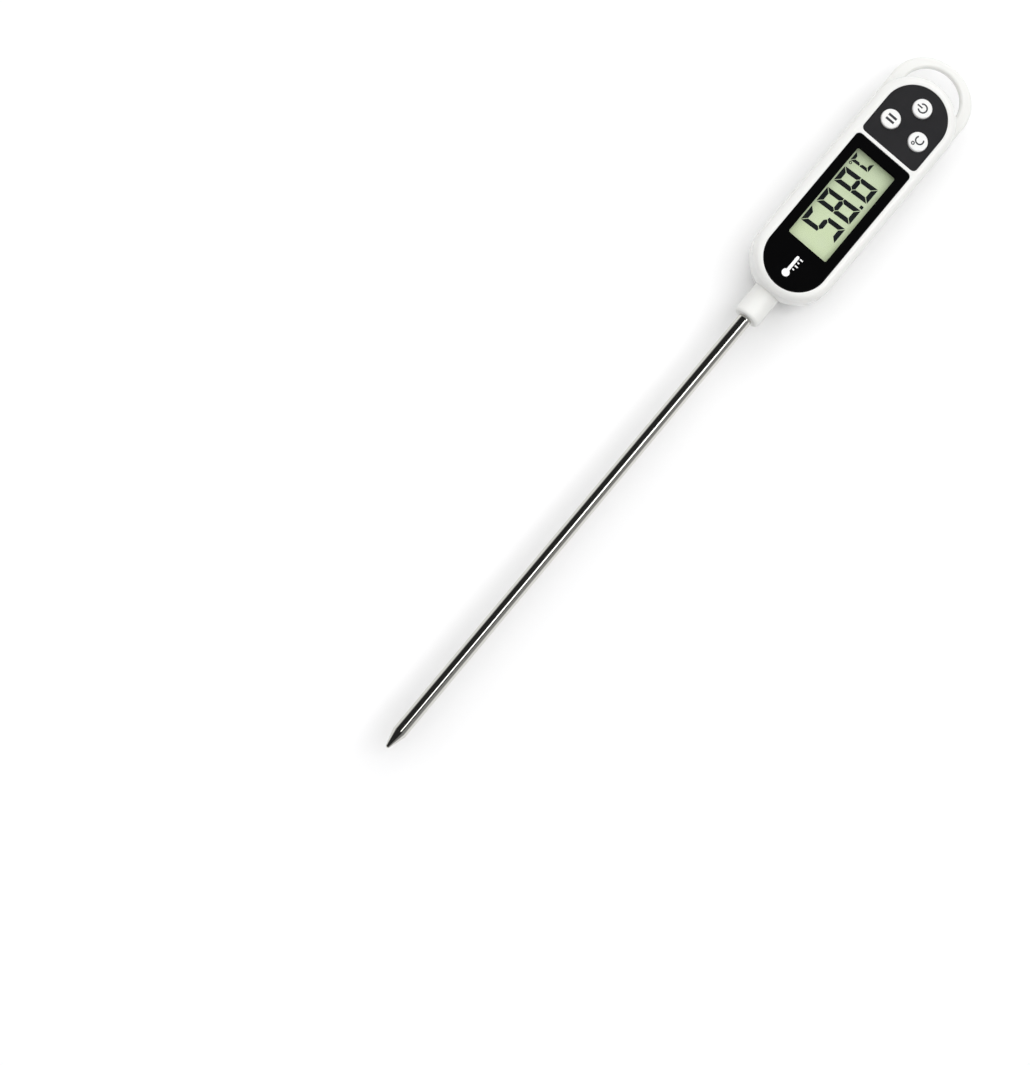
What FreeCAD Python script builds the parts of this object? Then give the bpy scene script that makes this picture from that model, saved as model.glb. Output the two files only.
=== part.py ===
"""Digital pen probe thermometer: a flat two-part case with a display and three keys, a steel probe stem at
one end and a hanging loop at the other. Millimetres. X is the width, +Y runs from the probe tip to the
hanging loop, +Z is the display side. The origin is under the middle of the whole length, on the flat back."""

import FreeCAD
import Part

import math
import os

# ---- driving dimensions ----------------------------------------------------------------------

probe_length = 145.0  # bare steel, tip to collar
collar_length = 8.1  # collar outside the case
case_length = 70.4
loop_reach = 8.0  # the hanging loop past the end of the case
case_width = 23.0
case_depth = 17.5  # back to front face
nose_depth = 10.4  # the probe end of the case is half an ellipse this deep

wall = 1.6
parting_z = 11.0  # where the two shells meet
front_round = 2.2  # edge round of the front face
belly_draft = math.radians(15)  # the back shell's sides draw in towards the belly
back_round = 3.0  # edge round of the belly
seam_round = 0.2  # edge of each shell along the parting line
probe_z = 9.5  # height of the probe's axis

stem_radius = 1.9
stem_wall = 0.3
seat_radius = 1.85  # the stem's held end is drawn down a little, just in front of the collar
seat_step = 0.8  # length of the cone between the two radii
collar_radius = 3.65
collar_round = 0.9  # free rim of the collar

panel_half = 8.8  # half width of the display and key panels
panel_thick = 0.95
panel_sink = 0.1  # panels lie this far under the front face
panel_gap = 0.06  # all round a panel, in its recess
panel_corner = 1.3
tape_thick = 0.15
rib_width = 1.05  # white rib between the two panels
rib_from_case_end = 23.1  # middle of that rib to the loop end of the case
ledge_thick = 0.8  # shell floor that carries the panels

window_width = 12.3
window_length = 29.2
window_from_nose = 14.4  # from the probe end of the case
window_margin = 0.8  # the shell's opening is wider than the window on all sides

key_radius = 2.6
key_rise = 0.6  # above the front face
key_edge = 0.45  # round of the cap's rim
key_travel = 0.5
key_gap = 0.1  # radial, in the key panel
key_side = 4.5  # the two lower keys, either side of the middle

board_thick = 1.0
cell_radius = 5.8  # LR44 button cell
cell_thick = 5.4

# ---- places worked out from them -------------------------------------------------------------

total_length = probe_length + collar_length + case_length + loop_reach
tip_y = -total_length / 2
collar_y = tip_y + probe_length
nose_y = collar_y + collar_length  # probe end of the case
tail_y = nose_y + case_length  # loop end of the case
loop_y = tail_y + loop_reach
half_width = case_width / 2
nose_centre_y = nose_y + nose_depth
tail_centre_y = tail_y - half_width
rib_y = tail_y - rib_from_case_end
display_end_y = rib_y - rib_width / 2
keypad_end_y = rib_y + rib_width / 2

panel_top = case_depth - panel_sink
panel_low = panel_top - panel_thick
ledge_top = panel_low - tape_thick
ceiling = ledge_top - ledge_thick  # inside of the front shell
window_y = (nose_y + window_from_nose, nose_y + window_from_nose + window_length)

# the display stack, from the front down to the board
lcd_margin = 1.2  # glass past each end of the window
glass_y = (window_y[0] - lcd_margin, window_y[1] + lcd_margin)
glass_half = 8.0
back_glass_half = 6.6
lcd_top = ceiling - 0.3  # close under the window, so that its frame hardly shades it
film_thick = 0.2
glass_thick = 1.1
board_top = lcd_top - 2 * film_thick - 2 * glass_thick - 0.4
board_low = board_top - board_thick
holder_half = 9.2
holder_rim = 0.9

# keys stand in a triangle, one at the loop end and two towards the display
key_places = {
    "power": (0.0, tail_centre_y + 3.3),
    "hold": (-key_side, tail_centre_y - 4.2),
    "unit": (key_side, tail_centre_y - 4.2),
}

# fixings: two screws close the case from the back, five hold the board under the front shell
case_screws = [(-6.4, nose_y + 9.4), (6.4, nose_y + 9.4)]
case_post_radius = 2.1
case_screw_head = 1.75
case_screw_shank = 1.0
case_screw_length = 9.0
case_screw_seat = 4.0  # height of the head's seat above the back
board_post_radius = 1.6
board_screw_head = 1.35
board_screw_shank = 0.75
board_screw_length = 3.6
board_screws = [
    (0.0, nose_y + 10.6),
    (-7.2, tail_centre_y - 9.8),
    (7.2, tail_centre_y - 9.8),
    (-6.0, tail_centre_y + 5.5),
    (6.0, tail_centre_y + 5.5),
]

# the collar's flange sits in a slot between the nose wall and a rib
bulkhead_y = nose_y + 3.4
flange_y = (bulkhead_y + 0.1, bulkhead_y + 1.7)
flange_radius = 4.4
rib_saddle_y = (flange_y[1] + 0.1, flange_y[1] + 1.5)
rib_saddle_half = 4.0
stem_end_y = rib_saddle_y[1] + 1.5

# battery bay
cell_y = tail_centre_y + 1.0
cell_low = 2.1
bay_gap = 0.2
bay_roof = (cell_low + cell_thick + bay_gap, cell_low + cell_thick + bay_gap + 0.8)
bay_y = (cell_y - 8.0, cell_y + 8.4)
bay_half = 8.4
lid_half = 6.6
lid_y = bay_y[0] + 0.7
lid_z = (0.3, 1.7)
lid_tongue = 0.9
slide_gap = 0.08

# battery contacts: a leaf against the can's side, and a tongue on its cap that is bent up
strip_thick = 0.2
leaf_half = 1.8
leaf_y = cell_y - cell_radius
tongue_half = 1.4
riser_y = cell_y + 5.0
contact_foot = 2.2

loop_thick = 2.8
loop_swell = 0.8  # its sides swell out of the drawn-in belly by this much
loop_run = 2.0  # half the length over which they do
loop_hole_radius = 8.3
loop_centre_y = loop_y - 10.5

# fits: how much wider each hole is than what goes into it, on the radius
collar_fit = 0.02
stem_fit = 0.05
key_room = 0.2  # in the shell, behind the panel
head_room = 0.2
shank_room = 0.1
fine = 1e-4


# ---- shapes used again and again -------------------------------------------------------------


def vec(x, y, z):
    return FreeCAD.Vector(x, y, z)


def box(x0, x1, y0, y1, z0, z1):
    return Part.makeBox(x1 - x0, y1 - y0, z1 - z0, vec(x0, y0, z0))


def post(x, y, z0, z1, radius):
    """Upright round bar."""
    return Part.makeCylinder(radius, z1 - z0, vec(x, y, z0))


def bar(y0, y1, radius, x=0.0, z=probe_z):
    """Round bar lying along the probe."""
    return Part.makeCylinder(radius, y1 - y0, vec(x, y0, z), vec(0, 1, 0))


def plate(edges, z0, z1):
    """Flat plate from a closed outline drawn at z0."""
    wire = Part.Wire([edge.toShape() for edge in edges])
    return Part.Face(wire).extrude(vec(0, 0, z1 - z0))


def level_edges(shape, z):
    """The edges of a shape that lie flat at height z."""
    return [e for e in shape.Edges if abs(e.BoundBox.ZMin - z) < fine and abs(e.BoundBox.ZMax - z) < fine]


def case_outline(inset, z):
    """Edges of the case's plan shape, drawn in by inset all round."""
    half = half_width - inset
    nose = Part.Ellipse(vec(0, nose_centre_y, z), half, nose_depth - inset)
    tail_crown = vec(0, tail_centre_y + half, z)
    return [
        Part.ArcOfEllipse(nose, math.pi, 2 * math.pi),
        Part.LineSegment(vec(half, nose_centre_y, z), vec(half, tail_centre_y, z)),
        Part.Arc(vec(half, tail_centre_y, z), tail_crown, vec(-half, tail_centre_y, z)),
        Part.LineSegment(vec(-half, tail_centre_y, z), vec(-half, nose_centre_y, z)),
    ]


def round_rims(block, z0, z1, round_low, round_high):
    """The block with its bottom edges at z0 and its top edges at z1 rounded."""
    if round_low:
        block = block.makeFillet(round_low, level_edges(block, z0))
    if round_high:
        block = block.makeFillet(round_high, level_edges(block, z1))
    return block


def case_block(inset, z0, z1, round_low=0.0, round_high=0.0):
    """Upright block of the case's plan shape between two heights."""
    return round_rims(plate(case_outline(inset, z0), z0, z1), z0, z1, round_low, round_high)


def belly_block(inset, z0, z1, round_low=0.0, round_high=0.0):
    """Block of the case's plan shape that draws in from the parting line down."""
    outlines = []
    for z in (z0, z1):
        edges = case_outline(inset + (parting_z - z) * math.tan(belly_draft), z)
        outlines.append(Part.Wire([edge.toShape() for edge in edges]))
    return round_rims(Part.makeLoft(outlines, True, True), z0, z1, round_low, round_high)


def panel_plate(round_y, flat_y, half, z0, z1):
    """Plate with a half-round end about round_y, and a straight end at flat_y with small round corners."""
    way = 1 if flat_y > round_y else -1
    corner = panel_corner * way
    nip = panel_corner * (1 - math.sqrt(0.5))
    side_y = flat_y - corner
    inner = half - panel_corner
    mid_x = half - nip
    mid_y = flat_y - way * nip
    return plate(
        [
            Part.Arc(vec(half, round_y, z0), vec(0, round_y - way * half, z0), vec(-half, round_y, z0)),
            Part.LineSegment(vec(-half, round_y, z0), vec(-half, side_y, z0)),
            Part.Arc(vec(-half, side_y, z0), vec(-mid_x, mid_y, z0), vec(-inner, flat_y, z0)),
            Part.LineSegment(vec(-inner, flat_y, z0), vec(inner, flat_y, z0)),
            Part.Arc(vec(inner, flat_y, z0), vec(mid_x, mid_y, z0), vec(half, side_y, z0)),
            Part.LineSegment(vec(half, side_y, z0), vec(half, round_y, z0)),
        ],
        z0,
        z1,
    )


def display_panel(gap, z0, z1):
    return panel_plate(nose_centre_y, display_end_y + gap, panel_half + gap, z0, z1)


def key_panel(gap, z0, z1):
    return panel_plate(tail_centre_y, keypad_end_y - gap, panel_half + gap, z0, z1)


def window_block(reach, z0, z1):
    """Block over the display's window and this far past it on all sides."""
    half = window_width / 2 + reach
    return box(-half, half, window_y[0] - reach, window_y[1] + reach, z0, z1)


def screw(x, y, seat_z, head, shank, length):
    """Self-tapping screw that points up, with its round cross-slotted head under the seat."""
    head_high = 0.6 * head
    low = seat_z - head_high
    knob = post(x, y, low, seat_z, head)
    knob = knob.makeFillet(0.35 * head_high, level_edges(knob, low))
    stalk = post(x, y, seat_z, seat_z + length - shank, shank)
    point = Part.makeCone(shank, 0.2 * shank, shank, vec(x, y, seat_z + length - shank))
    arm = 0.62 * head
    slot = 0.16 * head
    slot_z = low + 0.5 * head_high
    cross = box(x - arm, x + arm, y - slot, y + slot, low - 1, slot_z)
    cross = cross.fuse(box(x - slot, x + slot, y - arm, y + arm, low - 1, slot_z))
    return knob.fuse([stalk, point]).cut(cross).removeSplitter()


def bent_lead(points, radius, bend):
    """Round wire through the points: straight runs joined by tangent arcs of the bend radius."""
    edges = []
    start = points[0]
    for before, corner, after in zip(points, points[1:], points[2:]):
        come = (before - corner).normalize()
        go = (after - corner).normalize()
        turn = math.pi - come.getAngle(go)
        setback = bend * math.tan(turn / 2)
        middle = corner + (come + go).normalize() * (bend / math.cos(turn / 2) - bend)
        edges.append(Part.LineSegment(start, corner + come * setback).toShape())
        edges.append(Part.Arc(corner + come * setback, middle, corner + go * setback).toShape())
        start = corner + go * setback
    edges.append(Part.LineSegment(start, points[-1]).toShape())
    path = Part.Wire(edges)
    heading = (points[1] - points[0]).normalize()
    section = Part.Wire(Part.Circle(points[0], heading, radius).toShape())
    wire = path.makePipeShell([section], True, True)
    ratio = wire.Volume / (math.pi * radius**2 * path.Length)
    print("lead bend radius", bend, "volume over section times length", round(ratio, 4))
    return wire


# ---- case ------------------------------------------------------------------------------------


def behind_bulkhead(hollow):
    """The part of a hollow that is past the thick wall behind the collar."""
    return hollow.common(box(-half_width, half_width, bulkhead_y, tail_y, 0, case_depth))


lip_low = parting_z - 1.1
lip_outer = 0.9  # the lip's outside is this far in from the case's
lip_gap = 0.08
root = 0.1  # posts and ribs run this far into the wall that they stand on
hole_end = ceiling - 0.6  # the screw holes stop here, inside their posts


def front_shell():
    """Face of the case, with both panels' recesses, the lip, and the posts that take the screws."""
    shell = case_block(0, parting_z, case_depth, seam_round, front_round)
    inner_round = 0.8
    shell = shell.cut(behind_bulkhead(case_block(wall, parting_z - 1, ceiling, round_high=inner_round)))
    lip = case_block(lip_outer, lip_low, parting_z).cut(case_block(wall, lip_low, parting_z))
    lip = lip.common(box(-half_width, half_width, bulkhead_y + root, tail_y, lip_low, parting_z))
    shell = shell.fuse(lip)
    rib = box(-rib_saddle_half, rib_saddle_half, *rib_saddle_y, parting_z, ceiling + root)
    shell = shell.fuse(rib)
    for x, y in case_screws:
        shell = shell.fuse(post(x, y, parting_z, ceiling + root, case_post_radius))
    for x, y in board_screws:
        shell = shell.fuse(post(x, y, board_top, ceiling + root, board_post_radius))
    cuts = [
        display_panel(panel_gap, ledge_top, case_depth + 1),
        key_panel(panel_gap, ledge_top, case_depth + 1),
        window_block(window_margin, ceiling - 1, case_depth),
        bar(nose_y - 1, bulkhead_y + 1, collar_radius + collar_fit),
        bar(bulkhead_y, stem_end_y, seat_radius + stem_fit),
    ]
    cuts += [post(x, y, ceiling - 1, case_depth, key_radius + key_room) for x, y in key_places.values()]
    cuts += [post(x, y, parting_z - 1, hole_end, case_screw_shank) for x, y in case_screws]
    cuts += [post(x, y, board_top - 1, hole_end, board_screw_shank) for x, y in board_screws]
    return shell.cut(cuts).removeSplitter()


def hanging_loop():
    """Flat band with a round hole at the loop end. Its sides swell out of the belly to the case's width."""
    low = parting_z - loop_thick
    rise = loop_y - loop_centre_y
    crown = Part.Ellipse(vec(0, loop_centre_y, low), half_width, rise)
    root = vec(half_width - loop_swell, tail_centre_y - loop_run, low)
    side = vec(half_width, tail_centre_y + loop_run, low)
    spring = vec(half_width, loop_centre_y, low)
    far_root, far_side, far_spring = [vec(-p.x, p.y, low) for p in (root, side, spring)]
    band = plate(
        [
            Part.LineSegment(far_root, root),
            Part.LineSegment(root, side),
            Part.LineSegment(side, spring),
            Part.ArcOfEllipse(crown, 0, math.pi),
            Part.LineSegment(far_spring, far_side),
            Part.LineSegment(far_side, far_root),
        ],
        low,
        parting_z,
    )
    band = band.cut(post(0, loop_centre_y, low, parting_z, loop_hole_radius))
    past = tail_centre_y + loop_run + 0.5
    rim = [e for z in (low, parting_z) for e in level_edges(band, z) if e.BoundBox.YMax > past]
    return band.makeFillet(0.7, rim)


def back_shell():
    """Belly of the case with the hanging loop, the battery bay, the lid's grooves and the screws' posts."""
    shell = belly_block(0, 0, parting_z, back_round, seam_round).fuse(hanging_loop())
    hollow = behind_bulkhead(belly_block(wall, wall, parting_z, back_round - wall))
    shell = shell.cut(hollow)
    room_low = lip_low - lip_gap
    shell = shell.cut(behind_bulkhead(case_block(lip_outer - lip_gap, room_low, parting_z)))
    overlap = 0.2  # the inner walls run this far into the outer one
    inside = belly_block(wall - overlap, 0, lip_low - 0.3, back_round - wall + overlap)
    root_z = wall - 3 * overlap
    extras = [
        box(-bay_half, bay_half, *bay_y, root_z, bay_roof[1]),
        box(-rib_saddle_half, rib_saddle_half, *rib_saddle_y, root_z, parting_z),
    ]
    extras += [post(x, y, root_z, parting_z, case_post_radius) for x, y in case_screws]
    for extra in extras:
        shell = shell.fuse(extra.common(inside.fuse(hollow)))
    opening = lid_half + slide_gap
    groove = opening + lid_tongue
    groove_z = (lid_z[0] + 0.6 - slide_gap, lid_z[1] + slide_gap)
    bay_end_y = lid_y - slide_gap
    leaf_room = leaf_half + 0.4
    tongue_room = tongue_half + 0.3
    cuts = [
        bar(nose_y - 1, bulkhead_y + 1, collar_radius + collar_fit),
        bar(bulkhead_y, stem_end_y, seat_radius + stem_fit),
        # battery bay, its lid opening and the grooves that the lid slides in
        post(0, cell_y, lid_z[1], bay_roof[0], cell_radius + bay_gap),
        box(-opening, opening, bay_end_y, loop_y, -1, groove_z[1]),
        box(-groove, groove, bay_end_y, loop_y, *groove_z),
        # slots for the two battery contacts
        box(-leaf_room, leaf_room, leaf_y - 1.0, leaf_y + 0.4, lid_z[1], bay_roof[1] + 1),
        box(-tongue_room, tongue_room, riser_y - 0.6, riser_y + 0.4, lid_z[1] + 4, bay_roof[1] + 1),
    ]
    cuts += [post(x, y, -1, parting_z + 1, case_screw_shank + shank_room) for x, y in case_screws]
    cuts += [post(x, y, -1, case_screw_seat, case_screw_head + head_room) for x, y in case_screws]
    return shell.cut(cuts).removeSplitter()


def battery_lid():
    """Follows the belly outside, slides out towards the loop."""
    belly = belly_block(0.05, 0, parting_z, back_round)
    middle = box(-lid_half, lid_half, lid_y, tail_y, *lid_z)
    reach = lid_half + lid_tongue
    tongues = box(-reach, reach, lid_y, cell_y + 6.0, lid_z[0] + 0.6, lid_z[1])
    lid = belly.common(middle.fuse(tongues))
    grip_pitch = 1.4
    grip_half = 3.5
    grip_wide = 0.6
    grip_top = lid_z[0] + 0.35
    for step in range(5):
        y = cell_y - 2.5 + step * grip_pitch
        lid = lid.cut(box(-grip_half, grip_half, y, y + grip_wide, -1, grip_top))
    return lid.removeSplitter()


def nose_collar():
    """Collar on the stem, with a flange that the shells hold."""
    outside = bar(collar_y, flange_y[1], collar_radius)
    rim = [e for e in outside.Edges if e.BoundBox.YMax < collar_y + fine]
    outside = outside.makeFillet(collar_round, rim)
    outside = outside.fuse(bar(*flange_y, flange_radius))
    return outside.cut(bar(collar_y - 1, flange_y[1] + 1, seat_radius)).removeSplitter()


def case_screw_group():
    sizes = (case_screw_head, case_screw_shank, case_screw_length)
    return Part.makeCompound([screw(x, y, case_screw_seat, *sizes) for x, y in case_screws])


# ---- panels and keys -------------------------------------------------------------------------


panel_edge = 0.15  # edge round of both panels


def display_lens():
    lens = display_panel(0, panel_low, panel_top)
    return lens.makeFillet(panel_edge, level_edges(lens, panel_top))


def keypad_bezel():
    bezel = key_panel(0, panel_low, panel_top)
    bezel = bezel.makeFillet(panel_edge, level_edges(bezel, panel_top))
    holes = [post(x, y, panel_low - 1, panel_top + 1, key_radius + key_gap) for x, y in key_places.values()]
    return bezel.cut(holes)


def panel_tapes():
    """Double-sided tape that bonds both panels to the shell."""
    inset = 0.3  # from the panel's edge
    display = display_panel(-inset, ledge_top, panel_low)
    display = display.cut(window_block(window_margin + 0.4, ledge_top - 1, panel_low + 1))
    keypad = key_panel(-inset, ledge_top, panel_low)
    keypad = keypad.cut([post(x, y, 0, case_depth, key_radius + 0.4) for x, y in key_places.values()])
    return Part.makeCompound([display, keypad])


key_flange_radius = key_radius + 0.6
key_flange_z = (ceiling - 0.8, ceiling - 0.1)
key_low = key_flange_z[0] - 1.1
pill_radius = 1.5
pill_low = board_top + key_travel + 0.05
mat_thick = 0.5
mat_collar_radius = 3.0
mat_hole_radius = pill_radius + 0.6


def key_cap(x, y):
    """Round key that stands through the panel, with a flange that keeps it in."""
    cap = post(x, y, key_low, case_depth + key_rise, key_radius)
    cap = cap.makeFillet(key_edge, level_edges(cap, case_depth + key_rise))
    return cap.fuse(post(x, y, *key_flange_z, key_flange_radius)).removeSplitter()


def key_pill(x, y):
    """Conductive rubber pill that closes the contact on the board."""
    return post(x, y, pill_low, key_low, pill_radius)


def keypad_mat():
    """Silicone sheet on the board with a collar round each pill."""
    reach = key_radius + 2.0
    low_y = key_places["hold"][1] - reach
    high_y = key_places["power"][1] + reach - 0.4
    sheet_z = (board_top, board_top + mat_thick)
    sheet = box(-panel_half, panel_half, low_y, high_y, *sheet_z)
    sheet = sheet.common(case_block(wall + 0.8, *sheet_z))
    for x, y in key_places.values():
        sheet = sheet.fuse(post(x, y, board_top, key_low - key_travel - 0.1, mat_collar_radius))
    cuts = [post(x, y, board_top - 1, case_depth, mat_hole_radius) for x, y in key_places.values()]
    cuts += [post(x, y, board_top - 1, case_depth, board_post_radius + 0.2) for x, y in board_screws]
    return sheet.cut(cuts).removeSplitter()


# ---- display ---------------------------------------------------------------------------------


def lcd_front_polarizer():
    inset = 0.5
    half = glass_half - inset
    return box(-half, half, glass_y[0] + inset, glass_y[1] - inset, lcd_top - film_thick, lcd_top)


def lcd_front_glass():
    top = lcd_top - film_thick
    return box(-glass_half, glass_half, *glass_y, top - glass_thick, top)


def lcd_back_glass():
    top = lcd_top - film_thick - glass_thick
    return box(-back_glass_half, back_glass_half, *glass_y, top - glass_thick, top)


def lcd_reflector():
    top = lcd_top - film_thick - 2 * glass_thick
    half = back_glass_half - 0.3
    return box(-half, half, glass_y[0] + 0.3, glass_y[1] - 0.3, top - film_thick, top)


def zebra_strips():
    """Striped rubber connectors between the ledges of the front glass and the board."""
    top = lcd_top - film_thick - glass_thick
    inner = back_glass_half + 0.1
    outer = glass_half - 0.1
    ends = (glass_y[0] + 0.5, glass_y[1] - 0.5)
    return Part.makeCompound([box(x, x + outer - inner, *ends, board_top, top) for x in (-outer, inner)])


def lcd_holder():
    """Plastic frame that keeps the glass over the board."""
    ends = (glass_y[0] - holder_rim, glass_y[1] + holder_rim)
    frame = box(-holder_half, holder_half, *ends, board_top, ceiling - 0.1)
    room = 0.1
    half = glass_half + room
    return frame.cut(box(-half, half, glass_y[0] - room, glass_y[1] + room, board_top - 1, case_depth))


# ---- electronics -----------------------------------------------------------------------------


def circuit_board():
    board = case_block(wall + 0.6, board_low, board_top)
    board = board.common(box(-half_width, half_width, stem_end_y + 0.6, tail_y, board_low, board_top))
    cuts = [post(x, y, 0, case_depth, case_post_radius + 0.9) for x, y in case_screws]
    cuts += [post(x, y, 0, case_depth, board_screw_shank + 0.15) for x, y in board_screws]
    return board.cut(cuts)


def board_screw_group():
    sizes = (board_screw_head, board_screw_shank, board_screw_length)
    return Part.makeCompound([screw(x, y, board_low, *sizes) for x, y in board_screws])


def chip_blob():
    """Drop of black epoxy over the bare chip."""
    y = nose_centre_y + 24.0
    radius = 4.2
    low = board_low - 1.3
    drop = post(0, y, low, board_low, radius)
    return drop.makeFillet(1.1, level_edges(drop, low))


def clock_crystal():
    can_radius = 1.0
    can_length = 6.0
    x = -5.5
    y = nose_centre_y + 12.0
    can = bar(y, y + can_length, can_radius, x, board_low - can_radius)
    ends = [e for e in can.Edges if e.BoundBox.YLength < fine]
    return can.makeFillet(0.25, ends)


def small_parts():
    """Resistors and capacitors under the board."""
    long, wide, high = 2.0, 1.25, 0.55
    pitch = 2.6
    chips = []
    for row in range(4):
        y = nose_centre_y + 11.0 + row * pitch
        for x in (3.2, 6.2):
            chips.append(box(x, x + long, y, y + wide, board_low - high, board_low))
    return Part.makeCompound(chips)


def button_cell():
    """LR44: a wide can with its narrower cap towards the board."""
    cap_high = 0.8
    can = post(0, cell_y, cell_low, cell_low + cell_thick - cap_high, cell_radius)
    can = can.makeFillet(0.5, level_edges(can, cell_low))
    cap = post(0, cell_y, cell_low + 1, cell_low + cell_thick, cell_radius - 1.2)
    cap = cap.makeFillet(0.4, level_edges(cap, cell_low + cell_thick))
    return can.fuse(cap).removeSplitter()


def battery_contact_positive():
    """Upright leaf against the can's side, with its foot on the board."""
    back_y = leaf_y - strip_thick
    leaf = box(-leaf_half, leaf_half, back_y, leaf_y, cell_low + 0.3, board_low)
    foot = box(-leaf_half, leaf_half, back_y - contact_foot, leaf_y, board_low - strip_thick, board_low)
    return leaf.fuse(foot).removeSplitter()


def battery_contact_negative():
    """Flat tongue on the cap, bent up to the board."""
    back_y = riser_y - strip_thick
    cap_z = cell_low + cell_thick
    tongue = box(-tongue_half, tongue_half, cell_y - 3.0, riser_y, cap_z, bay_roof[0])
    riser = box(-tongue_half, tongue_half, back_y, riser_y, cap_z, board_low)
    foot = box(-tongue_half, tongue_half, back_y, back_y + contact_foot, board_low - strip_thick, board_low)
    return tongue.fuse([riser, foot]).removeSplitter()


# ---- probe -----------------------------------------------------------------------------------

bore_radius = stem_radius - stem_wall
taper_length = 5.0
plug_reach = 0.8
bead_radius = 0.8
bead_y = tip_y + taper_length + plug_reach + 1.2
lead_radius = 0.35
lead_side = 0.5
lead_pad_x = 1.6
lead_end_y = stem_end_y + 12.5
sleeve_y = (bead_y + 6.0, stem_end_y + 0.3)
sleeve_radius = 1.35
sleeve_bore = 1.15
solder_radius = 0.75
solder_high = 0.8


def probe_tube():
    seat_y = collar_y - 0.2
    step_y = seat_y - seat_step
    step = Part.makeCone(stem_radius, seat_radius, seat_step, vec(0, step_y, probe_z), vec(0, 1, 0))
    tube = bar(tip_y + taper_length, step_y, stem_radius)
    tube = tube.fuse([step, bar(seat_y, stem_end_y, seat_radius)])
    return tube.cut(bar(tip_y, stem_end_y + 1, bore_radius))


def probe_tip():
    """Welded point: a cone that runs tangent into a small round nose, with a spigot inside the tube."""
    nose = 0.6
    centre = taper_length - nose
    slant = math.atan2(stem_radius, centre) - math.asin(nose / math.hypot(stem_radius, centre))
    touch_r = nose * math.cos(slant)
    touch_y = nose * (1 - math.sin(slant))
    half_turn = (math.pi / 2 - slant) / 2
    mid_r = nose * math.sin(half_turn)
    mid_y = nose * (1 - math.cos(half_turn))
    base_y = tip_y + taper_length
    spigot_y = base_y + plug_reach
    profile = Part.Wire(
        [
            Part.Arc(
                vec(0, tip_y, probe_z),
                vec(mid_r, tip_y + mid_y, probe_z),
                vec(touch_r, tip_y + touch_y, probe_z),
            ).toShape(),
            Part.makePolygon(
                [
                    vec(touch_r, tip_y + touch_y, probe_z),
                    vec(stem_radius, base_y, probe_z),
                    vec(bore_radius, base_y, probe_z),
                    vec(bore_radius, spigot_y, probe_z),
                    vec(0, spigot_y, probe_z),
                    vec(0, tip_y, probe_z),
                ]
            ),
        ]
    )
    return Part.Face(profile).revolve(vec(0, 0, probe_z), vec(0, 1, 0), 360)


def retaining_ring():
    """Brass ring crimped on the stem behind the rib, so that the probe can't be pulled out."""
    ring_y = (rib_saddle_y[1] + 0.1, rib_saddle_y[1] + 1.1)
    ring_radius = 2.8
    return bar(*ring_y, ring_radius).cut(bar(ring_y[0] - 1, ring_y[1] + 1, seat_radius))


def thermistor_bead():
    return Part.makeSphere(bead_radius, vec(0, bead_y, probe_z))


def thermistor_leads():
    """Two insulated leads from the bead to their pads under the board."""
    leads = []
    for side in (-1, 1):
        x = side * lead_side
        pad_x = side * lead_pad_x
        pad_z = board_low - lead_radius
        points = [
            vec(x, bead_y + bead_radius, probe_z),
            vec(x, stem_end_y + 0.8, probe_z),
            vec(pad_x, stem_end_y + 5.5, probe_z - 0.5),
            vec(pad_x, stem_end_y + 9.5, pad_z),
            vec(pad_x, lead_end_y, pad_z),
        ]
        leads.append(bent_lead(points, lead_radius, 3.0))
    return Part.makeCompound(leads)


def lead_sleeve():
    return bar(*sleeve_y, sleeve_radius).cut(bar(sleeve_y[0] - 1, sleeve_y[1] + 1, sleeve_bore))


def tip_fill():
    """Heat-conducting resin that holds the bead in the end of the tube."""
    fill = bar(tip_y + taper_length + plug_reach, sleeve_y[0] - 0.5, bore_radius)
    leads = [bar(bead_y, sleeve_y[0], lead_radius, side * lead_side) for side in (-1, 1)]
    return fill.cut([thermistor_bead()] + leads)


def solder_joints():
    """The drops that fix the leads to the board."""
    drops = []
    for side in (-1, 1):
        low = board_low - solder_high
        drop = post(side * lead_pad_x, lead_end_y + solder_radius, low, board_low, solder_radius)
        drops.append(drop.makeFillet(0.4, level_edges(drop, low)))
    return Part.makeCompound(drops)


# ---- write every piece -----------------------------------------------------------------------

pieces = {
    "front_shell": front_shell(),
    "back_shell": back_shell(),
    "battery_lid": battery_lid(),
    "nose_collar": nose_collar(),
    "case_screws": case_screw_group(),
    "display_lens": display_lens(),
    "keypad_bezel": keypad_bezel(),
    "panel_tapes": panel_tapes(),
    "keypad_mat": keypad_mat(),
    "lcd_front_polarizer": lcd_front_polarizer(),
    "lcd_front_glass": lcd_front_glass(),
    "lcd_back_glass": lcd_back_glass(),
    "lcd_reflector": lcd_reflector(),
    "lcd_holder": lcd_holder(),
    "zebra_strips": zebra_strips(),
    "circuit_board": circuit_board(),
    "board_screws": board_screw_group(),
    "chip_blob": chip_blob(),
    "clock_crystal": clock_crystal(),
    "small_parts": small_parts(),
    "button_cell": button_cell(),
    "battery_contact_positive": battery_contact_positive(),
    "battery_contact_negative": battery_contact_negative(),
    "probe_tube": probe_tube(),
    "probe_tip": probe_tip(),
    "retaining_ring": retaining_ring(),
    "thermistor_bead": thermistor_bead(),
    "thermistor_leads": thermistor_leads(),
    "lead_sleeve": lead_sleeve(),
    "tip_fill": tip_fill(),
    "solder_joints": solder_joints(),
}
for name, (x, y) in key_places.items():
    pieces["key_" + name] = key_cap(x, y)
    pieces["pill_" + name] = key_pill(x, y)

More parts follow.
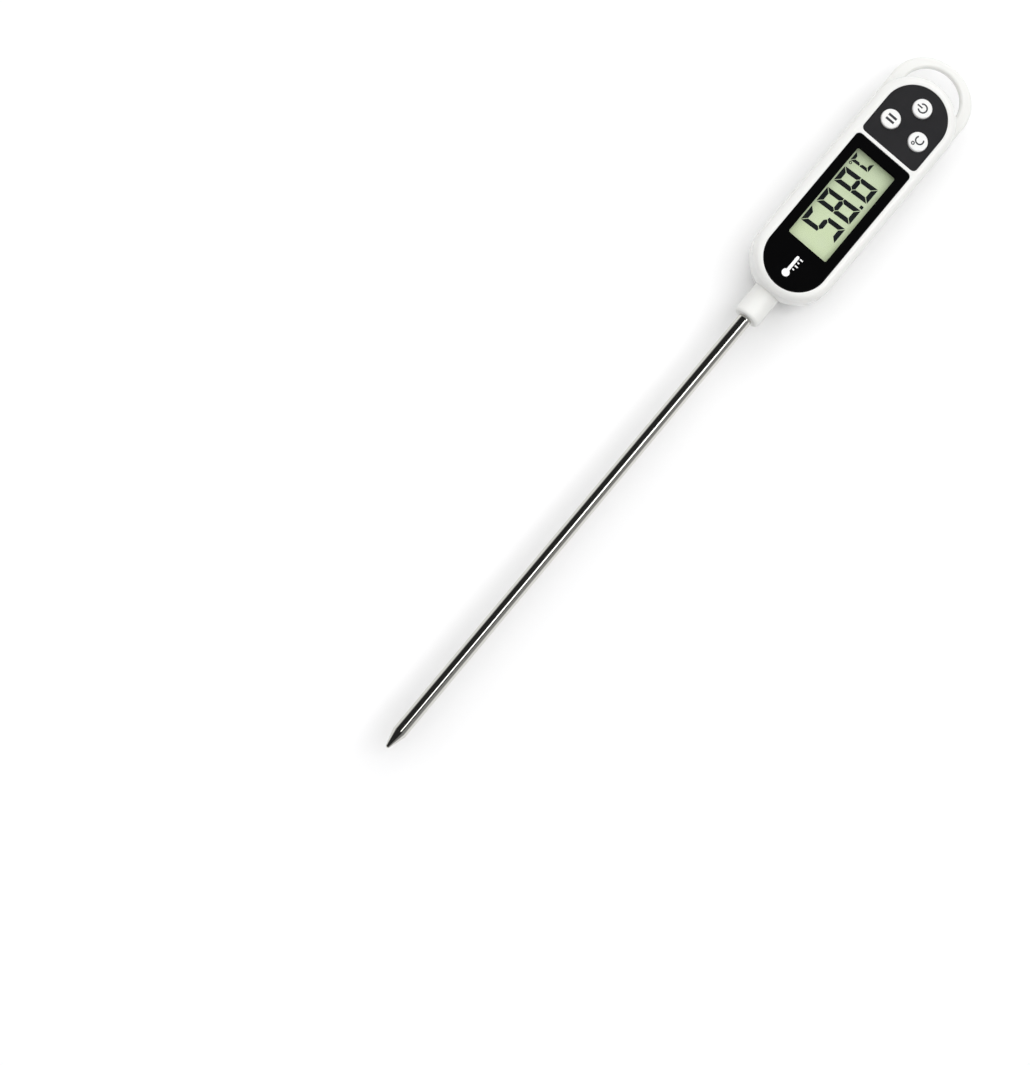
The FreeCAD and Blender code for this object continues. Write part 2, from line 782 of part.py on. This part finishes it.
os.makedirs("parts", exist_ok=True)
for name, shape in pieces.items():
    if not shape.isValid():
        print("NOT VALID:", name)
    shape.exportStep("parts/" + name + ".step")
    size = shape.BoundBox
    print(f"{name:26s} solids {len(shape.Solids)}  volume {shape.Volume:9.2f}", end="  ")
    print(f"y {size.YMin:8.2f} {size.YMax:8.2f}  z {size.ZMin:6.2f} {size.ZMax:6.2f}")
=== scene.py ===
"""Looks of the pen probe thermometer: materials for every CAD node, the readout and the printed signs, and
a plain studio. Metres, in the frame of the CAD: X across the case, +Y towards the hanging loop, +Z out of
the display."""

import math

import bpy
from mathutils import Matrix, Vector

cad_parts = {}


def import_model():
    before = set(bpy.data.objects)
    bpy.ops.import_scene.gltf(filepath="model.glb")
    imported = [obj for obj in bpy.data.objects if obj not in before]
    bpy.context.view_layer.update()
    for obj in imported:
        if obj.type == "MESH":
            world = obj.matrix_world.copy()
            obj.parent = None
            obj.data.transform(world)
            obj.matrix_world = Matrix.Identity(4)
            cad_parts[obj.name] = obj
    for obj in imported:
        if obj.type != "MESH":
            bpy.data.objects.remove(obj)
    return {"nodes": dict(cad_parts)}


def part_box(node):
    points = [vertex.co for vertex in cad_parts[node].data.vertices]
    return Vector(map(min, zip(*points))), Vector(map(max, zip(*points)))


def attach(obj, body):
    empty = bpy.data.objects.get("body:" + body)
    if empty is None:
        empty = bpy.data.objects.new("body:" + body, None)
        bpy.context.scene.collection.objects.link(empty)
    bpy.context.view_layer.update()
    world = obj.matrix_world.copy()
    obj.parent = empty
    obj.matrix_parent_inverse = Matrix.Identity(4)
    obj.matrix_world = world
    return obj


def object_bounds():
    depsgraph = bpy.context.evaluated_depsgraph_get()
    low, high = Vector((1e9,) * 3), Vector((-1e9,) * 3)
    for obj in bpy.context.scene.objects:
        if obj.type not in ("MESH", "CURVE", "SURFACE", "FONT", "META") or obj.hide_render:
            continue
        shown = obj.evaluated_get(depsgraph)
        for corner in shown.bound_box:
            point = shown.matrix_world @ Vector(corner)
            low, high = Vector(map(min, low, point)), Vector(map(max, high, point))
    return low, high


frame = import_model()
cad_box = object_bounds()
MM = 0.001


# ---- node materials ------------------------------------------------------------------------------


class Look:
    """One procedural material. Its textures use the frame's own metres, so every size is a real one."""

    def __init__(self, name):
        self.material = bpy.data.materials.new(name)
        self.material.use_nodes = True
        self.tree = self.material.node_tree
        self.shader = self.tree.nodes["Principled BSDF"]
        self.output = self.tree.nodes["Material Output"]
        self.place = self.node("ShaderNodeTexCoord").outputs["Object"]

    def node(self, kind, inputs=None, **settings):
        """A new node. An input is a number, a colour or another node's output."""
        made = self.tree.nodes.new(kind)
        for key, value in settings.items():
            setattr(made, key, value)
        for key, value in (inputs or {}).items():
            if isinstance(value, bpy.types.NodeSocket):
                self.tree.links.new(value, made.inputs[key])
            else:
                made.inputs[key].default_value = value
        return made

    def set(self, **values):
        """Sets sockets of the main shader: base_color=..., roughness=..., and so on."""
        for key, value in values.items():
            socket = self.shader.inputs[key.replace("_", " ").title().replace("Ior", "IOR")]
            if isinstance(value, bpy.types.NodeSocket):
                self.tree.links.new(value, socket)
            else:
                socket.default_value = value

    def math(self, operation, a, b=0.0):
        return self.node("ShaderNodeMath", {0: a, 1: b}, operation=operation).outputs[0]

    def noise(self, size, detail=2.0, stretch=(1, 1, 1)):
        """Cloudy pattern from 0 to 1. Its blobs are about size metres, longer along the axes with a stretch."""
        place = self.place
        if stretch != (1, 1, 1):
            shrink = tuple(1 / s for s in stretch)
            place = self.node("ShaderNodeVectorMath", {0: place, 1: shrink}, operation="MULTIPLY").outputs[0]
        inputs = {"Vector": place, "Scale": 1 / size, "Detail": detail}
        return self.node("ShaderNodeTexNoise", inputs).outputs["Fac"]

    def grade(self, fac, low, high, start=0.3, end=0.7):
        """Number that goes from low to high while fac goes from start to end."""
        inputs = {"Value": fac, "From Min": start, "From Max": end, "To Min": low, "To Max": high}
        return self.node("ShaderNodeMapRange", inputs).outputs[0]

    def blend(self, fac, first, second):
        """Colour between two colours. Each is three numbers or another node's output."""
        mix = self.node("ShaderNodeMix", data_type="RGBA")
        for socket, value in ((mix.inputs[0], fac), (mix.inputs[6], first), (mix.inputs[7], second)):
            if isinstance(value, bpy.types.NodeSocket):
                self.tree.links.new(value, socket)
            elif isinstance(value, tuple):
                socket.default_value = (*value, 1)
            else:
                socket.default_value = value
        return mix.outputs[2]

    def bump(self, *layers):
        """Surface relief from layers of (pattern, height in metres)."""
        normal = None
        for pattern, height in layers:
            inputs = {"Height": pattern, "Distance": height, "Strength": 1.0}
            if normal is not None:
                inputs["Normal"] = normal
            normal = self.node("ShaderNodeBump", inputs).outputs[0]
        self.tree.links.new(normal, self.shader.inputs["Normal"])


def paint(look, *nodes):
    """Puts a finished look on CAD nodes."""
    for name in nodes:
        for slot in frame["nodes"][name].material_slots:
            slot.material = look.material


def moulded_white(name, tint, roughness):
    """Gloss ABS: a faint drift in the colour, soft smudges in the gloss, and a very fine orange peel."""
    look = Look(name)
    darker = tuple(c * 0.98 for c in tint)
    look.set(base_color=look.blend(look.noise(16 * MM, 1), tint, darker))
    smudge = look.noise(7 * MM, 1, (1, 2.2, 1))
    look.set(roughness=look.grade(smudge, roughness, roughness + 0.06, 0.1, 0.9), ior=1.53)
    look.set(subsurface_weight=0.08, subsurface_radius=(1.0, 0.9, 0.8), subsurface_scale=0.6 * MM)
    look.bump((look.noise(1.6 * MM, 1), 0.006 * MM), (look.noise(0.16 * MM, 2), 0.0012 * MM))
    return look


def steel(name, tint, roughness, line=0.05 * MM):
    """Ground steel: fine rings round the part, and a slow change of polish along it."""
    look = Look(name)
    darker = tuple(c * 0.94 for c in tint)
    look.set(base_color=look.blend(look.noise(7 * MM, 2), tint, darker), metallic=1.0)
    rings = look.noise(line, 2, (60, 1, 60))
    polish = look.math("ADD", look.grade(look.noise(9 * MM, 1), 0, 0.02), look.grade(rings, 0, 0.03))
    look.set(roughness=look.math("ADD", polish, roughness))
    look.bump((rings, 0.0004 * MM))
    return look


def plain_surface(name, tint, roughness, grain=0.3 * MM, relief=0.004 * MM, change=0.15, **extra):
    """Moulded or cast surface with a fine grain, used for the pieces inside."""
    look = Look(name)
    darker = tuple(c * (1 - change) for c in tint)
    pattern = look.noise(grain, 3)
    look.set(base_color=look.blend(look.grade(look.noise(4 * MM, 3), 0, 1), tint, darker))
    look.set(roughness=look.grade(pattern, roughness, min(1.0, roughness + 0.12)), **extra)
    look.bump((pattern, relief))
    return look


# ---- case ----------------------------------------------------------------------------------------

paint(moulded_white("gloss_white_front", (0.83, 0.83, 0.812), 0.2), "front_shell")
paint(moulded_white("gloss_white_back", (0.82, 0.82, 0.80), 0.22), "back_shell", "battery_lid")
paint(moulded_white("satin_white_collar", (0.82, 0.82, 0.797), 0.3), "nose_collar")
paint(moulded_white("satin_white_keys", (0.85, 0.85, 0.84), 0.32), "key_power", "key_hold", "key_unit")


def charcoal_panel():
    """Spark-eroded texture on dark plastic, a little polished by fingers."""
    look = Look("charcoal_panel")
    shade = look.grade(look.noise(9 * MM, 3), 0, 1)
    look.set(base_color=look.blend(shade, (0.009, 0.009, 0.0105), (0.013, 0.0125, 0.014)))
    erosion = look.noise(0.14 * MM, 3)
    rub = look.grade(look.noise(5 * MM, 2), 0.42, 0.54)
    look.set(roughness=look.math("ADD", rub, look.grade(erosion, 0, 0.08)), specular_ior_level=0.35)
    look.bump((erosion, 0.012 * MM))
    return look


paint(charcoal_panel(), "keypad_bezel")

# The window in the display panel lies over the display's film, a little inside its edges.
film_low, film_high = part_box("lcd_front_polarizer")
window_low = Vector((film_low.x + 1.35 * MM, film_low.y + 0.7 * MM, 0))
window_high = Vector((film_high.x - 1.35 * MM, film_high.y - 0.7 * MM, 0))
window_centre = (window_low + window_high) / 2
window_half = (window_high - window_low) / 2


def display_lens():
    """Clear acrylic with a gloss black print round the window, fine scratches and a trace of fingers."""
    look = Look("black_printed_acrylic")
    corner = 0.5 * MM
    tree = look.tree
    from_centre = look.node("ShaderNodeVectorMath", {0: look.place, 1: window_centre}, operation="SUBTRACT")
    folded = look.node("ShaderNodeVectorMath", {0: from_centre.outputs[0]}, operation="ABSOLUTE")
    inner = (window_half.x - corner, window_half.y - corner, 0)
    past = look.node("ShaderNodeVectorMath", {0: folded.outputs[0], 1: inner}, operation="SUBTRACT")
    apart = look.node("ShaderNodeSeparateXYZ", {0: past.outputs[0]})
    past_x = look.math("MAXIMUM", apart.outputs[0])
    past_y = look.math("MAXIMUM", apart.outputs[1])
    squares = look.math("ADD", look.math("POWER", past_x, 2), look.math("POWER", past_y, 2))
    reach = look.math("SQRT", squares)
    printed = look.grade(reach, 0, 1, corner - 0.02 * MM, corner + 0.02 * MM)

    smudge = look.grade(look.noise(5 * MM, 4, (1, 1.8, 1)), 0.035, 0.1)
    scratches = look.noise(0.05 * MM, 2, (2, 90, 2))
    look.set(base_color=(0.0018, 0.0018, 0.002, 1), ior=1.49)
    look.set(roughness=look.math("ADD", smudge, look.grade(scratches, 0, 0.03, 0.62, 0.75)))

    clear = look.node("ShaderNodeBsdfTransparent", {"Color": (0.97, 0.98, 0.97, 1)})
    gloss = look.node("ShaderNodeBsdfGlossy", {"Color": (1, 1, 1, 1), "Roughness": 0.05})
    facing = look.math("SUBTRACT", 1.0, look.node("ShaderNodeNewGeometry").outputs["Backfacing"])
    shine = look.math("MULTIPLY", look.node("ShaderNodeFresnel", {"IOR": 1.49}).outputs[0], facing)
    pane = look.node("ShaderNodeMixShader", {0: shine, 1: clear.outputs[0], 2: gloss.outputs[0]})
    whole = look.node("ShaderNodeMixShader", {0: printed, 1: pane.outputs[0], 2: look.shader.outputs[0]})
    tree.links.new(whole.outputs[0], look.output.inputs["Surface"])
    return look


paint(display_lens(), "display_lens")

# ---- stem ----------------------------------------------------------------------------------------

paint(steel("ground_steel_stem", (0.68, 0.67, 0.63), 0.08), "probe_tube")
paint(steel("ground_steel_tip", (0.66, 0.65, 0.62), 0.12), "probe_tip")
paint(steel("zinc_screws", (0.58, 0.59, 0.6), 0.25, 0.12 * MM), "case_screws", "board_screws")
paint(steel("turned_brass", (0.78, 0.56, 0.24), 0.24, 0.1 * MM), "retaining_ring")
paint(steel("cell_steel", (0.72, 0.72, 0.7), 0.22, 0.2 * MM), "button_cell")
contact_nickel = steel("contact_nickel", (0.7, 0.67, 0.6), 0.28, 0.2 * MM)
paint(contact_nickel, "battery_contact_positive", "battery_contact_negative")
paint(steel("crystal_can", (0.7, 0.7, 0.7), 0.2, 0.2 * MM), "clock_crystal")
paint(steel("solder", (0.68, 0.68, 0.7), 0.2, 0.3 * MM), "solder_joints")

# ---- inside --------------------------------------------------------------------------------------

paint(plain_surface("black_foam_tape", (0.02, 0.02, 0.02), 0.8, 0.2 * MM), "panel_tapes")
paint(plain_surface("grey_silicone", (0.3, 0.31, 0.33), 0.6), "keypad_mat")
paint(plain_surface("carbon_pills", (0.02, 0.02, 0.02), 0.7), "pill_power", "pill_hold", "pill_unit")
paint(plain_surface("matt_white_frame", (0.78, 0.78, 0.76), 0.55), "lcd_holder")
paint(plain_surface("chip_ceramic", (0.32, 0.26, 0.2), 0.5), "small_parts")
paint(plain_surface("epoxy_drop", (0.012, 0.012, 0.013), 0.2, 0.6 * MM, 0.01 * MM), "chip_blob")
paint(plain_surface("red_insulation", (0.5, 0.03, 0.025), 0.4), "thermistor_leads")
paint(plain_surface("cream_sleeve", (0.72, 0.66, 0.5), 0.45), "lead_sleeve")
paint(plain_surface("grey_resin", (0.3, 0.3, 0.32), 0.5), "tip_fill")
paint(plain_surface("bead_glaze", (0.16, 0.09, 0.05), 0.15), "thermistor_bead")


def circuit_board():
    """Green solder resist with darker tracks that run along the board."""
    look = Look("green_board")
    tracks = look.grade(look.noise(0.9 * MM, 0, (1, 9, 1)), 0, 1, 0.47, 0.5)
    look.set(base_color=look.blend(tracks, (0.008, 0.1, 0.03), (0.014, 0.17, 0.05)), roughness=0.28)
    look.bump((tracks, 0.03 * MM))
    return look


def zebra_strip():
    """Thin dark and light layers, stacked along the strip."""
    look = Look("zebra_layers")
    layer = 0.18 * MM
    scale = 2 * math.pi / (20 * layer)  # at scale 1 the node's waves are 2 pi / 20 long
    waves = {"Vector": look.place, "Scale": scale}
    stripes = look.node("ShaderNodeTexWave", waves, bands_direction="Y").outputs["Fac"]
    look.set(base_color=look.blend(stripes, (0.03, 0.03, 0.03), (0.5, 0.5, 0.52)), roughness=0.6)
    return look


def display_glass():
    """Soda glass, greenish, with a faint surface wave."""
    look = Look("display_glass")
    look.set(base_color=(0.8, 0.9, 0.84, 1), transmission_weight=1.0, ior=1.52)
    look.set(roughness=look.grade(look.noise(3 * MM, 2), 0.02, 0.06))
    look.bump((look.noise(4 * MM, 1), 0.002 * MM))
    return look


def pearl_film():
    """Pale green film with a fine pearly speckle."""
    look = Look("pearl_reflector")
    speckle = look.noise(0.1 * MM, 3)
    look.set(base_color=look.blend(speckle, (0.5, 0.56, 0.42), (0.62, 0.68, 0.52)), roughness=0.35)
    return look


def display_film():
    """What shows behind the window: pale green with the reflector's speckle. Painted light makes it brighter at
    the probe end, and painted shade makes it darker towards the loop end.
    """
    look = Look("pale_green_display")
    along = look.node("ShaderNodeSeparateXYZ", {0: look.place}).outputs[1]
    # painted shade: the film's colour goes from bright green at the probe end to darker green at the loop end
    painted_shade_along = look.grade(along, 0, 1, window_low.y, window_high.y)
    base = look.blend(painted_shade_along, (0.70, 0.78, 0.51), (0.58, 0.66, 0.445))
    speckle = look.grade(look.noise(0.09 * MM, 3), 0, 0.3)
    cloud = look.grade(look.noise(3.5 * MM, 3), 0, 0.35)
    base = look.blend(speckle, base, (0.50, 0.57, 0.39))
    look.set(base_color=look.blend(cloud, base, (0.68, 0.73, 0.58)), roughness=0.34)
    look.bump((look.noise(0.12 * MM, 2), 0.002 * MM))
    return look


paint(circuit_board(), "circuit_board")
paint(zebra_strip(), "zebra_strips")
paint(display_glass(), "lcd_front_glass", "lcd_back_glass")
paint(pearl_film(), "lcd_reflector")
paint(display_film(), "lcd_front_polarizer")


# ---- readout and printed signs -------------------------------------------------------------------


PRINT = 0.02 * MM  # thickness of the printed pieces
SUNK = 0.01 * MM  # how deep a print lies in the surface under it
RING_STEPS = 24


def flat_piece(name, outlines, rings, low_z, look, body, slot):
    """Thin closed plates made as one piece. Each counter-clockwise outline gives one, and each ring of
    (x, y, outer, inner) gives one with a round hole."""
    points = []
    faces = []
    for outline in outlines:
        first = len(points)
        count = len(outline)
        points += [(x, y, low_z) for x, y in outline]
        points += [(x, y, low_z + PRINT) for x, y in outline]
        faces.append([first + count + k for k in range(count)])
        faces.append([first + k for k in reversed(range(count))])
        for k in range(count):
            following = (k + 1) % count
            faces.append([first + k, first + following, first + count + following, first + count + k])
    for x, y, outer, inner in rings:
        first = len(points)
        section = [(outer, 0), (outer, PRINT), (inner, PRINT), (inner, 0)]
        for px, py in arc(0, 0, 1, 0, 360, RING_STEPS)[:-1]:
            points += [(x + px * radius, y + py * radius, low_z + rise) for radius, rise in section]
        for k in range(RING_STEPS):
            here = first + 4 * k
            there = first + 4 * ((k + 1) % RING_STEPS)
            for corner in range(4):
                following = (corner + 1) % 4
                faces.append([here + corner, there + corner, there + following, here + following])
    mesh = bpy.data.meshes.new(name)
    mesh.from_pydata(points, [], faces)
    mesh.materials.append(look.material)
    piece = bpy.data.objects.new(name, mesh)
    bpy.context.scene.collection.objects.link(piece)
    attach(piece, body)
    return piece


def arc(x, y, radius, start, end, steps=24):
    """Points along an arc from one angle to another, in degrees."""
    angles = [math.radians(start + (end - start) * k / steps) for k in range(steps + 1)]
    return [(x + radius * math.cos(angle), y + radius * math.sin(angle)) for angle in angles]


def open_ring(x, y, outer, inner, start, end):
    """Outline of part of a ring."""
    return arc(x, y, outer, start, end) + arc(x, y, inner, end, start)


def bar_outline(x0, x1, y0, y1):
    """Corners of a straight bar, counter-clockwise."""
    return [(x0, y0), (x1, y0), (x1, y1), (x0, y1)]


def segment_shapes(wide, high, stroke, gap):
    """The seven bars of a digit, from p = 0 to wide and q = 0 to high. They meet at mitres with a gap."""
    half = high / 2
    s = stroke
    g = gap
    top = [(g, high), (wide - g, high), (wide - s - g, high - s), (s + g, high - s)]
    right_top = [(wide, high - g), (wide, half + g), (wide - s / 2, half + g / 2), (wide - s, half + s / 2 + g)]
    right_top += [(wide - s, high - s - g)]
    middle = [(s / 2 + g, half), (s + g, half + s / 2), (wide - s - g, half + s / 2), (wide - s / 2 - g, half)]
    middle += [(wide - s - g, half - s / 2), (s + g, half - s / 2)]
    shapes = {"top": top, "right_top": right_top, "middle": middle}
    shapes["left_top"] = [(wide - p, q) for p, q in right_top]
    shapes["right_low"] = [(p, high - q) for p, q in right_top]
    shapes["left_low"] = [(wide - p, high - q) for p, q in right_top]
    shapes["bottom"] = [(p, high - q) for p, q in top]
    return shapes


ALL_BARS = ["top", "right_top", "right_low", "bottom", "left_low", "left_top", "middle"]
BARS = {
    "8": ALL_BARS,
    "5": ["top", "left_top", "middle", "right_low", "bottom"],
    "C": ["top", "left_top", "left_low", "bottom"],
}


def counter_clockwise(outline):
    """The outline, turned round if it runs the other way."""
    area = 0
    for (x0, y0), (x1, y1) in zip(outline, outline[1:] + outline[:1]):
        area += x0 * y1 - x1 * y0
    return outline if area > 0 else outline[::-1]


def readout():
    """Three digits, a point, a C and a degree ring. They read from the probe end, tops towards -X."""
    digit_high = 10.4 * MM
    digit_wide = 4.85 * MM
    stroke = 1.28 * MM
    gap = 0.13 * MM
    lean = 0.075
    foot_x = window_centre.x + 4.75 * MM
    top_x = foot_x - digit_high
    starts = [window_low.y + y * MM for y in (5.6, 12.0, 19.2)]
    outlines = []

    def add(outline, start_y, base_x, high):
        placed = [(base_x - q, start_y + p - lean * (q - high / 2)) for p, q in outline]
        outlines.append(counter_clockwise(placed))

    for figure, start_y in zip("588", starts):
        shapes = segment_shapes(digit_wide, digit_high, stroke, gap)
        for bar in BARS[figure]:
            add(shapes[bar], start_y, foot_x, digit_high)
    unit_high = 5.5 * MM
    unit_wide = 2.8 * MM
    unit_stroke = 0.85 * MM
    shapes = segment_shapes(unit_wide, unit_high, unit_stroke, gap)
    unit_y = window_low.y + 26.0 * MM
    for bar in BARS["C"]:
        add(shapes[bar], unit_y, top_x + unit_high, unit_high)
    point_y = (starts[1] + digit_wide + starts[2]) / 2
    point = 0.45 * MM  # half its side
    outlines.append(bar_outline(foot_x - 2 * point, foot_x, point_y - point, point_y + point))
    degree = (top_x + 0.5 * MM, unit_y - 0.75 * MM, 0.42 * MM, 0.2 * MM)
    return outlines, [degree]


def ink(name, tint, roughness):
    look = Look(name)
    lighter = tuple(c * 1.5 for c in tint)
    look.set(base_color=look.blend(look.noise(0.2 * MM, 2), tint, lighter), roughness=roughness)
    look.set(specular_ior_level=0.3)
    look.bump((look.noise(0.1 * MM, 2), 0.001 * MM))
    return look


liquid_crystal = ink("liquid_crystal", (0.002, 0.003, 0.005), 0.45)
dark_print = ink("dark_print", (0.03, 0.03, 0.035), 0.5)
white_print = ink("white_print", (0.72, 0.72, 0.72), 0.45)

flat_piece("lcd_readout", *readout(), film_high.z, liquid_crystal, "case", "readout_dark")


def power_sign(x, y):
    """Open ring with a bar in its gap. Its top is towards -X, as on the readout."""
    size = 1.35 * MM
    stroke = 0.4 * MM
    ring = open_ring(x, y, size, size - stroke, -140, 140)
    mark = bar_outline(x - size - 0.3 * MM, x - 0.1 * MM, y - stroke / 2, y + stroke / 2)
    return [ring, mark], []


def hold_sign(x, y):
    """Two bars, as for pause."""
    high = 2.5 * MM
    wide = 0.65 * MM
    outlines = []
    apart = 0.62 * MM
    for middle in (y - apart, y + apart):
        outlines.append(bar_outline(x - high / 2, x + high / 2, middle - wide / 2, middle + wide / 2))
    return outlines, []


def unit_sign(x, y):
    """Degree ring and a round C that opens in the reading direction."""
    degree = (x - 0.85 * MM, y - 1.2 * MM, 0.52 * MM, 0.22 * MM)
    return [open_ring(x + 0.1 * MM, y + 0.45 * MM, 1.25 * MM, 0.85 * MM, 140, 400)], [degree]


for key, sign in (("power", power_sign), ("hold", hold_sign), ("unit", unit_sign)):
    key_low, key_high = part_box("key_" + key)
    key_centre = (key_low + key_high) / 2
    shapes = sign(key_centre.x, key_centre.y)
    flat_piece("sign_" + key, *shapes, key_high.z - SUNK, dark_print, f"key_{key}_button", "print_dark")


def thermometer_sign(x, y):
    """Plain thermometer drawn along the case: a bulb towards the probe, and a stem with marks beside it."""
    bulb = 1.05 * MM
    stem = 0.42 * MM
    bulb_y = y - 2.4 * MM
    stem_end = y + 2.6 * MM
    open_angle = math.degrees(math.asin(stem / bulb))
    outlines = [arc(x, bulb_y, bulb, 90 + open_angle, 450 - open_angle) + arc(x, stem_end, stem, 0, 180)]
    pitch = 1.05 * MM
    mark_wide = 0.38 * MM
    for step in range(4):
        mark_y = y - 0.7 * MM + step * pitch
        reach = 1.6 * MM if step % 2 else 1.25 * MM
        outlines.append(bar_outline(x + 0.7 * MM, x + reach, mark_y, mark_y + mark_wide))
    return outlines, []


lens_low, lens_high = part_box("display_lens")
lens_sign = thermometer_sign((lens_low.x + lens_high.x) / 2, (lens_low.y + window_low.y) / 2)
flat_piece("sign_thermometer", *lens_sign, lens_high.z - SUNK, white_print, "case", "print_white")


# ---- studio --------------------------------------------------------------------------------------


def floor():
    """Pale floor under the object, far larger than any view of it."""
    mesh = bpy.data.meshes.new("floor")
    reach = 4.0
    level = cad_box[0].z
    corners = [(x, y, level) for x, y in bar_outline(-reach, reach, -reach, reach)]
    mesh.from_pydata(corners, [], [(0, 1, 2, 3)])
    look = Look("pale_floor")
    patches = look.noise(0.3, 2)
    look.set(base_color=look.blend(patches, (0.95, 0.95, 0.95), (0.93, 0.93, 0.935)), roughness=0.6)
    mesh.materials.append(look.material)
    ground = bpy.data.objects.new("floor", mesh)
    bpy.context.scene.collection.objects.link(ground)


def softbox(name, across, rise, distance, size, power, glossy=True):
    """Area light. Across is its angle from straight up, positive to +X. Rise is its lean towards the loop."""
    data = bpy.data.lights.new(name, "AREA")
    data.shape = "RECTANGLE"
    data.size, data.size_y = size
    data.energy = power
    lamp = bpy.data.objects.new(name, data)
    bpy.context.scene.collection.objects.link(lamp)
    angle = math.radians(across)
    slope = math.radians(rise)
    away = Vector((math.sin(angle) * math.cos(slope), math.sin(slope), math.cos(angle) * math.cos(slope)))
    lamp.location = away * distance
    lamp.rotation_mode = "QUATERNION"
    lamp.rotation_quaternion = away.to_track_quat("Z", "Y")
    lamp.visible_glossy = glossy


def world(horizon, top, height):
    """Bright low down and dim above, so that steel shows a light rim from every side."""
    scene_world = bpy.data.worlds.new("studio")
    scene_world.use_nodes = True
    tree = scene_world.node_tree
    place = tree.nodes.new("ShaderNodeTexCoord")
    apart = tree.nodes.new("ShaderNodeSeparateXYZ")
    fade = tree.nodes.new("ShaderNodeMapRange")
    fade.interpolation_type = "SMOOTHSTEP"
    fade.inputs["From Max"].default_value = height
    fade.inputs["To Min"].default_value = horizon
    fade.inputs["To Max"].default_value = top
    tree.links.new(place.outputs["Generated"], apart.inputs[0])
    tree.links.new(apart.outputs["Z"], fade.inputs["Value"])
    tree.nodes["Background"].inputs["Color"].default_value = (1, 1, 1, 1)
    tree.links.new(fade.outputs[0], tree.nodes["Background"].inputs["Strength"])
    bpy.context.scene.world = scene_world


floor()
world(0.7, 0.025, 0.36)
softbox("strip", 11, 10, 1.5, (0.2, 1.6), 3)
softbox("side", 66, 8, 1.6, (1.9, 2.0), 3)
softbox("rear", 0, 52, 1.8, (1.4, 0.5), 6)
softbox("fill", -8, 0, 2.2, (5.0, 5.0), 108, glossy=False)
bpy.context.scene.view_settings.view_transform = "Standard"


def camera():
    """Looks down on the display a little from the probe's side. The long axis leans to the picture's right."""
    tilt = math.radians(17.3)
    aside = math.radians(2.2)
    lean = math.radians(39.9)
    distance = 2.0
    picture = (1030, 1065)
    scale = 3957.0  # picture units in a metre, at the neck
    collar_low, collar_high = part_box("nose_collar")
    neck = Vector((0.05 * MM, collar_low.y + 4.7 * MM, (collar_low.z + collar_high.z) / 2))

    towards = Vector((-math.sin(aside) * math.cos(tilt), -math.sin(tilt), math.cos(aside) * math.cos(tilt)))
    along = Vector((0, 1, 0))
    up = Matrix.Rotation(lean, 3, towards) @ (along - along.dot(towards) * towards).normalized()
    straight = Matrix((up.cross(towards), up, towards)).transposed()
    neck_seen = Vector((242.0 / scale, 227.5 / scale, 0))  # right of and above the picture's middle
    neck_seen.z = -math.sqrt(distance**2 - neck_seen.length_squared)
    turn = neck_seen.rotation_difference(Vector((0, 0, -1))).to_matrix()

    data = bpy.data.cameras.new("camera")
    data.sensor_width = 36.0
    data.lens = data.sensor_width * -neck_seen.z * scale / max(picture)
    data.clip_start = 0.01
    data.clip_end = 20
    eye = bpy.data.objects.new("camera", data)
    bpy.context.scene.collection.objects.link(eye)
    eye.matrix_world = Matrix.Translation(neck + towards * distance) @ (straight @ turn).to_4x4()
    bpy.context.scene.camera = eye


camera()
